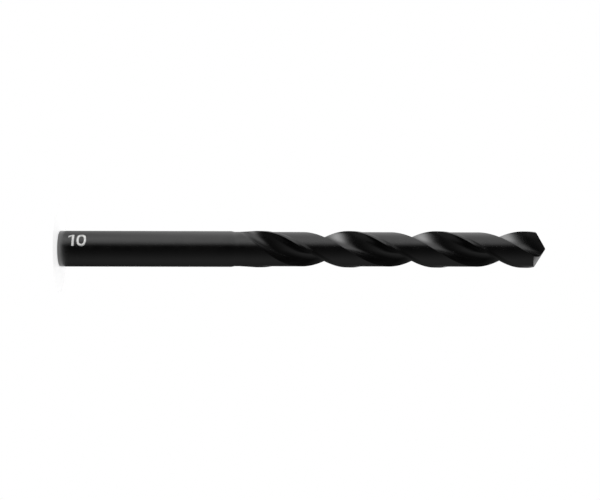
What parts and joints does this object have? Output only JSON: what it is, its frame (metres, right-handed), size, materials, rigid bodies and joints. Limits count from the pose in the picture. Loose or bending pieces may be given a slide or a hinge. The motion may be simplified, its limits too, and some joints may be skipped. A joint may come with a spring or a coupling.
{
  "type": "twist drill bit",
  "caption": "Right-hand twist drill with a parallel shank, spiral flutes and a conical ground point, in black steel.",
  "frame": {"origin": "centre of the flat shank end", "axes": "+Z along the drill's axis from the shank end to the point; the cutting lips lie along X at the point"},
  "size_m": [0.01, 0.01, 0.133],
  "materials": {
    "black_steel": "satin black oxide"
  },
  "bodies": {
    "root": {"twist_drill": "black_steel"}
  },
  "joints": []
}
